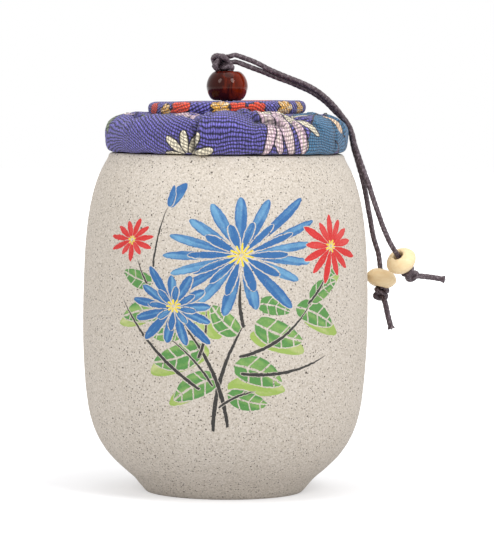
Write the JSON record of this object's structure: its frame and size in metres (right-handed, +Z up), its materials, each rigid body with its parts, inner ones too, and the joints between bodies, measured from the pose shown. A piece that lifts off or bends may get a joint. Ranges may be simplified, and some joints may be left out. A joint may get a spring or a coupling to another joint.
{
  "type": "tea storage jar",
  "caption": "Stoneware tea jar with a cloth-covered stopper lid, a wooden knob bead and a doubled cord that ends in small beads.",
  "frame": {"origin": "centre of the foot's underside, on the surface that the jar stands on", "axes": "+Z up along the pot's turning axis, -Y the painted front, +X the side that the cord hangs over"},
  "size_m": [0.1016, 0.08, 0.1236],
  "materials": {
    "stoneware": "unglazed, speckled",
    "cork": "raw cork",
    "board": "raw fibreboard",
    "wadding": "cotton wadding",
    "cover_cloth": "printed plain weave",
    "thread": "sewing thread",
    "card": "grey card",
    "disc_cloth": "printed plain weave",
    "knob_wood": "polished dark lacquer",
    "cord": "waxed twisted cotton",
    "bead_wood": "pale wood, satin"
  },
  "bodies": {
    "jar": {"jar_body": "stoneware"},
    "lid": {"stopper": "cork", "lid_board": "board", "lid_wadding": "wadding", "cover_cloth": "cover_cloth", "gather_thread": "thread", "disc_core": "card", "disc_cloth": "disc_cloth", "cord_riser": "cord", "anchor_knot": "cord"},
    "knob": {"knob_bead": "knob_wood"},
    "cord": {"top_knot": "cord", "strand_a": "cord", "strand_b": "cord", "end_knot_a": "cord", "end_knot_b": "cord"},
    "bead_a": {"small_bead_a": "bead_wood"},
    "bead_b": {"small_bead_b": "bead_wood"}
  },
  "joints": [
    {"name": "lid_lift", "type": "slide", "parent": "jar", "child": "lid", "axis": [0, 0, 1], "range_m": [0, 0.06]},
    {"name": "knob_spin", "type": "hinge", "parent": "lid", "child": "knob", "pos_m": [0, 0, 0.114], "axis": [0, 0, 1], "continuous": true},
    {"name": "cord_turn", "type": "hinge", "parent": "lid", "child": "cord", "pos_m": [0, 0, 0.119], "axis": [0, 0, 1], "range_deg": [-180, 180]},
    {"name": "bead_a_slide", "type": "slide", "parent": "cord", "child": "bead_a", "axis": [-0.1201, 0.1201, 0.9855], "range_m": [0, 0.004]},
    {"name": "bead_b_slide", "type": "slide", "parent": "cord", "child": "bead_b", "axis": [-0.4671, -0.5001, 0.7292], "range_m": [0, 0.004]}
  ]
}
